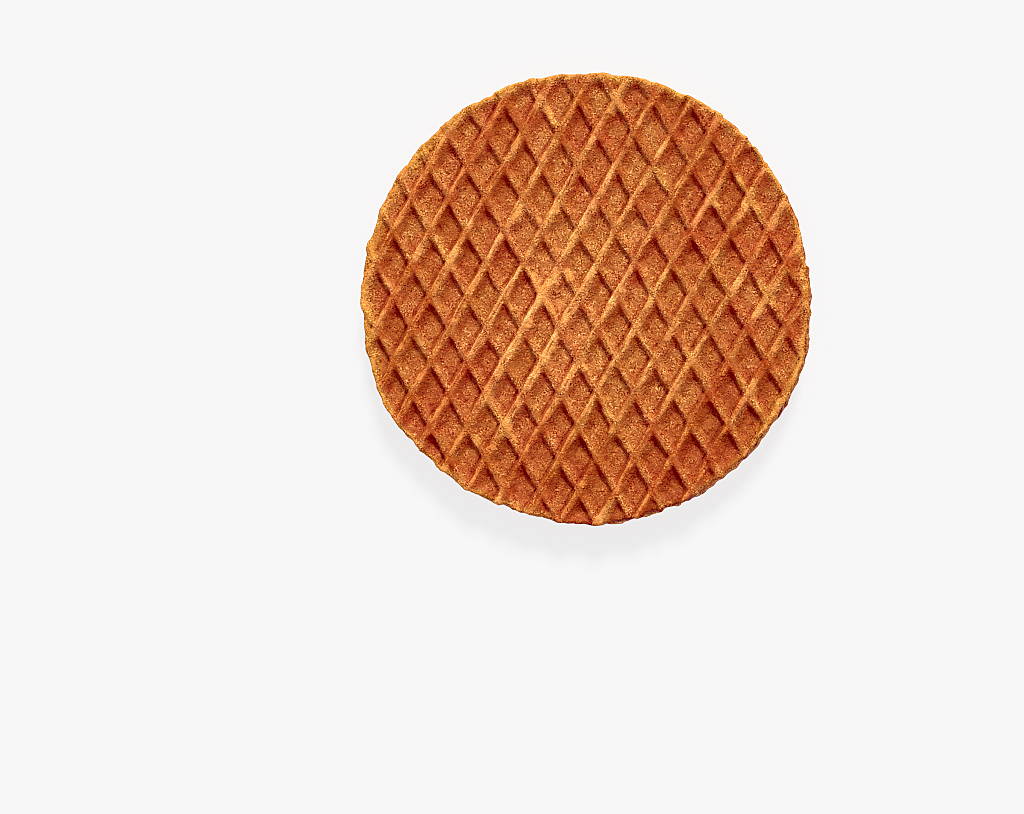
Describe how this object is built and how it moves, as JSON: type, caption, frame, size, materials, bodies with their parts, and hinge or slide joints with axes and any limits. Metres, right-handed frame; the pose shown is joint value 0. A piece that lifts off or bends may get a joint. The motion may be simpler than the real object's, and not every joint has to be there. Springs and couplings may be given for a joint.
{
  "type": "waffle cookie",
  "caption": "Round flat waffle cookie: thin baked wafers with a diamond lattice of ridges and pockets, held together by a layer of caramel syrup that shows along the rim.",
  "frame": {"origin": "under the middle of the cookie, level with the ridge tops of the lower wafer that it lies on", "axes": "+Z up through the thickness, out of the shown face; +X to the right and +Y up as the face is seen, along the short and the long diagonal of the diamonds"},
  "size_m": [0.1001, 0.1004, 0.007],
  "materials": {
    "wafer": "matt baked crust, golden brown, paler along ridges and rim",
    "syrup": "glossy dark caramel"
  },
  "bodies": {
    "root": {"wafer_top": "wafer", "syrup_layer": "syrup", "wafer_bottom": "wafer"}
  },
  "joints": []
}
